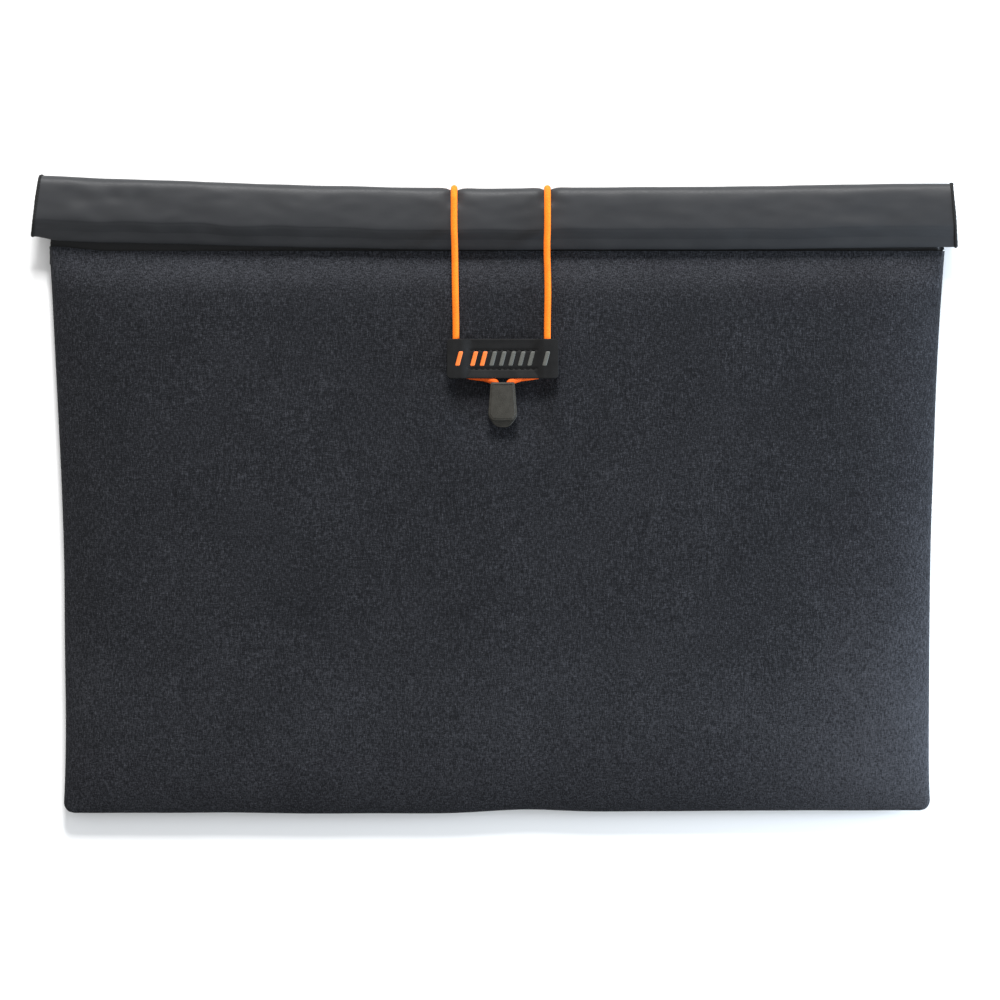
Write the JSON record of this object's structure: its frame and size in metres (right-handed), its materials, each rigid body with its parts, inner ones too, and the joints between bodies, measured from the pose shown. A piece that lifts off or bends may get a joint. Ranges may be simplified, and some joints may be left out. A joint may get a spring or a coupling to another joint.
{
  "type": "roll-top pouch",
  "caption": "Flat woven fabric pouch with a rolled nylon top, held shut by an elastic cord loop that hooks behind a rubber patch, with a pull tab.",
  "frame": {"origin": "on the floor under the middle of the whole pouch, which lies on its back", "axes": "+X across the pouch, +Y from its bottom edge to its rolled top, +Z out of its front"},
  "size_m": [0.49, 0.334, 0.024],
  "materials": {
    "woven_fabric": "matt, mottled dark grey weave",
    "shield_fabric": "silver-grey metallised cloth",
    "binding_tape": "matt",
    "nylon": "smooth coated, satin",
    "thread": "matt",
    "webbing": "matt",
    "soft_rubber": "matt",
    "mark_ink": "matt, raised",
    "elastic_cord": "braided",
    "tab_plastic": "fine texture",
    "crimp_metal": "satin"
  },
  "bodies": {
    "pouch": {"front_panel": "woven_fabric", "back_panel": "woven_fabric", "front_shield_outer": "shield_fabric", "front_shield_inner": "shield_fabric", "back_shield_outer": "shield_fabric", "back_shield_inner": "shield_fabric", "seam_tape_left": "binding_tape", "seam_tape_right": "binding_tape", "seam_tape_bottom": "binding_tape", "collar_back_ply": "nylon", "collar_back_shield": "shield_fabric", "collar_front_shield": "shield_fabric", "collar_front_ply": "nylon", "collar_side_seam_left": "nylon", "collar_side_seam_right": "nylon", "patch_backing": "webbing", "patch_centre": "soft_rubber", "patch_stitches": "thread", "patch_mark": "mark_ink", "back_anchor": "webbing", "anchor_stitches": "thread", "cord_back_run": "elastic_cord"},
    "roll": {"top_fold": "nylon", "top_fold_shield": "shield_fabric", "flap_inner_ply": "nylon", "flap_inner_shield": "shield_fabric", "flap_outer_shield": "shield_fabric", "flap_outer_ply": "nylon", "flap_side_seam_left": "nylon", "flap_side_seam_right": "nylon", "cord_over_roll_left": "elastic_cord", "cord_over_roll_right": "elastic_cord"},
    "hem": {"lower_fold": "nylon", "hem_back_ply": "nylon", "hem_front_ply": "nylon", "hem_stitching": "thread"},
    "cord_loop": {"cord_leg_left": "elastic_cord", "cord_leg_right": "elastic_cord"},
    "cord_end": {"cord_strand_left": "elastic_cord", "cord_strand_right": "elastic_cord"},
    "pull_tab": {"tab_back": "tab_plastic", "tab_front": "tab_plastic", "cord_crimp": "crimp_metal"},
    "ear_left": {"patch_ear_left": "soft_rubber", "patch_mark_left": "mark_ink"},
    "ear_right": {"patch_ear_right": "soft_rubber", "patch_mark_right": "mark_ink"}
  },
  "joints": [
    {"name": "roll_open", "type": "hinge", "parent": "pouch", "child": "roll", "pos_m": [0, 0.15555, 0.0119], "axis": [-1, 0, 0], "range_deg": [0, 178], "deforming": ["top_fold", "top_fold_shield", "cord_over_roll_left", "cord_over_roll_right"]},
    {"name": "hem_open", "type": "hinge", "parent": "roll", "child": "hem", "pos_m": [0, 0.1333, 0.0151], "axis": [-1, 0, 0], "range_deg": [0, 178], "deforming": ["lower_fold"]},
    {"name": "loop_lift", "type": "hinge", "parent": "roll", "child": "cord_loop", "pos_m": [0.003, 0.1475, 0.0215], "axis": [1, 0, 0], "range_deg": [-150, 0], "deforming": ["cord_leg_left", "cord_leg_right"]},
    {"name": "cord_pull", "type": "slide", "parent": "cord_loop", "child": "cord_end", "axis": [0, -1, 0], "range_m": [0, 0.02], "stiffness_N_per_m": 150, "deforming": ["cord_strand_left", "cord_strand_right"]},
    {"name": "tab_flip", "type": "hinge", "parent": "cord_end", "child": "pull_tab", "pos_m": [0.003, 0.059, 0.0212], "axis": [1, 0, 0], "range_deg": [-110, 0]},
    {"name": "ear_left_lift", "type": "hinge", "parent": "pouch", "child": "ear_left", "pos_m": [-0.01595, 0.07275, 0.02085], "axis": [0, 1, 0], "range_deg": [0, 60], "stiffness_Nm_per_rad": 0.002},
    {"name": "ear_right_lift", "type": "hinge", "parent": "pouch", "child": "ear_right", "pos_m": [0.02195, 0.07275, 0.02085], "axis": [0, -1, 0], "range_deg": [0, 60], "stiffness_Nm_per_rad": 0.002}
  ],
  "couplings": [
    {"joint": "hem_open", "follows": "roll_open", "ratio": 1}
  ]
}
